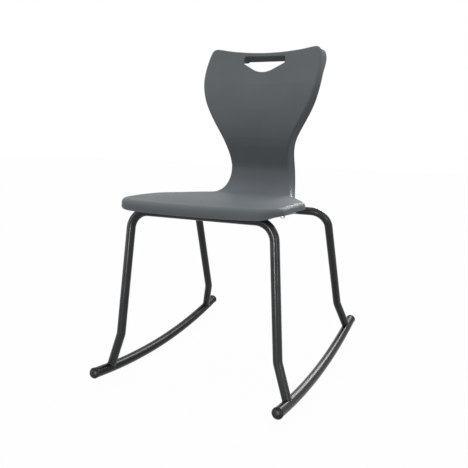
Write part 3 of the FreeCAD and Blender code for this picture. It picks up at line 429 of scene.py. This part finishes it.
FLOOR_REACH = 6.0  # from the middle to each side
FLOOR_WHITE = 0.97  # share of plain white in what is seen of it: the rest takes the shadow

floor_sheet = bmesh.new()
bmesh.ops.create_grid(floor_sheet, x_segments=1, y_segments=1, size=FLOOR_REACH)
floor_mesh = bpy.data.meshes.new("floor")
floor_sheet.to_mesh(floor_mesh)
floor_sheet.free()
floor = add_piece("floor", floor_mesh)


def seen_directly(material):
    """1 for a ray from the camera, or one that a glossy or clear surface passes on."""
    paths = add_node(material, "ShaderNodeLightPath")
    shine = add_node(material, "ShaderNodeMath", {"operation": "MAXIMUM"})
    material.node_tree.links.new(paths.outputs["Is Camera Ray"], shine.inputs[0])
    material.node_tree.links.new(paths.outputs["Is Glossy Ray"], shine.inputs[1])
    seen = add_node(material, "ShaderNodeMath", {"operation": "MAXIMUM"})
    material.node_tree.links.new(shine.outputs[0], seen.inputs[0])
    material.node_tree.links.new(paths.outputs["Is Transmission Ray"], seen.inputs[1])
    return seen.outputs[0]


floor_paper = bpy.data.materials.new("white_floor")
floor_paper.use_nodes = True
floor_paper.node_tree.nodes.clear()
paper = add_node(floor_paper, "ShaderNodeBsdfDiffuse", {"Color": (0.9, 0.9, 0.9, 1)})
glow = add_node(floor_paper, "ShaderNodeEmission", {"Color": (1, 1, 1, 1), "Strength": 1.0})
white = add_node(floor_paper, "ShaderNodeMixShader", {"Fac": FLOOR_WHITE})
floor_paper.node_tree.links.new(paper.outputs[0], white.inputs[1])
floor_paper.node_tree.links.new(glow.outputs[0], white.inputs[2])
dim = add_node(floor_paper, "ShaderNodeBsdfDiffuse", {"Color": (0.16, 0.16, 0.16, 1)})
surface = add_node(floor_paper, "ShaderNodeMixShader", Fac=seen_directly(floor_paper))
floor_paper.node_tree.links.new(dim.outputs[0], surface.inputs[1])
floor_paper.node_tree.links.new(white.outputs[0], surface.inputs[2])
add_node(floor_paper, "ShaderNodeOutputMaterial", Surface=surface.outputs[0])
floor.data.materials.append(floor_paper)

# Studio light: a soft dome that is brightest overhead and a long box above the
# chair light all of it. The other boxes and strips show only as sheen, on the
# edge of the seat and along the tubes.

studio = bpy.data.worlds.new("studio")
bpy.context.scene.world = studio
studio.use_nodes = True
studio.node_tree.nodes.clear()
way_up = add_node(studio, "ShaderNodeSeparateXYZ")
around = add_node(studio, "ShaderNodeTexCoord")
studio.node_tree.links.new(around.outputs["Generated"], way_up.inputs[0])
dome = add_node(studio, "ShaderNodeMapRange",
                {"From Min": -0.2, "To Min": 0.15, "To Max": 0.95}, Value=way_up.outputs["Z"])
level = add_node(studio, "ShaderNodeMapRange", {"To Max": 1.0}, Value=seen_directly(studio),
                 To_Min=dome.outputs["Result"])
backdrop = add_node(studio, "ShaderNodeBackground", {"Color": (1, 1, 1, 1)},
                    Strength=level.outputs["Result"])
add_node(studio, "ShaderNodeOutputWorld", Surface=backdrop.outputs[0])


def soft_box(name, spot, target, width, length, power, sheen_only=False):
    """One rectangular lamp, pointed at a spot of the chair, that may show only as sheen."""
    lamp = bpy.data.lights.new(name, "AREA")
    lamp.shape = "RECTANGLE"
    lamp.size, lamp.size_y = width, length
    lamp.energy = power
    box = add_piece(name, lamp)
    facing = (Vector(spot) - Vector(target)).to_track_quat("Z", "Y").to_matrix().to_4x4()
    box.matrix_world = Matrix.Translation(spot) @ facing
    box.visible_diffuse = not sheen_only


soft_box("overhead_box", (-0.5, -0.2, 2.3), (0.0, 0.0, 0.4), 0.35, 1.6, 3.5)
soft_box("side_box", (1.1, 1.3, 1.5), (0.1, 0.0, 0.45), 0.5, 0.9, 6.0, sheen_only=True)
soft_box("back_strip", (0.2, 2.4, 1.25), (0.1, 0.0, 0.1), 1.0, 0.9, 40.0, sheen_only=True)
soft_box("front_strip", (0.15, -2.4, 0.5), (0.15, 0.0, 0.25), 0.22, 1.2, 56.0, sheen_only=True)
soft_box("flank_strip", (1.95, -1.15, 0.6), (0.2, -0.2, 0.3), 0.35, 1.0, 13.0, sheen_only=True)
soft_box("left_strip", (-1.9, -1.5, 0.5), (0.0, -0.2, 0.25), 0.8, 1.2, 12.0, sheen_only=True)

# Camera: stands in front of the chair, toward the sitter's left and a little
# above the seat, as the photograph was taken.

CAMERA_PLACE = (0.6334, -1.4413, 0.6623)
CAMERA_HEADING = 24.18  # degrees from facing the chair squarely
CAMERA_DIP = 11.27  # degrees below level
CAMERA_ROLL = 0.455  # degrees
LENS_LENGTH = 46.30  # millimetres
SENSOR_WIDTH = 36.0  # millimetres

camera = add_piece("camera", bpy.data.cameras.new("camera"))
camera.data.lens = LENS_LENGTH
camera.data.sensor_width = SENSOR_WIDTH
turn = (Matrix.Rotation(math.radians(CAMERA_HEADING), 4, "Z")
        @ Matrix.Rotation(math.radians(90 - CAMERA_DIP), 4, "X")
        @ Matrix.Rotation(math.radians(CAMERA_ROLL), 4, "Z"))
camera.matrix_world = Matrix.Translation(CAMERA_PLACE) @ turn
bpy.context.scene.camera = camera
bpy.context.scene.view_settings.view_transform = "Standard"
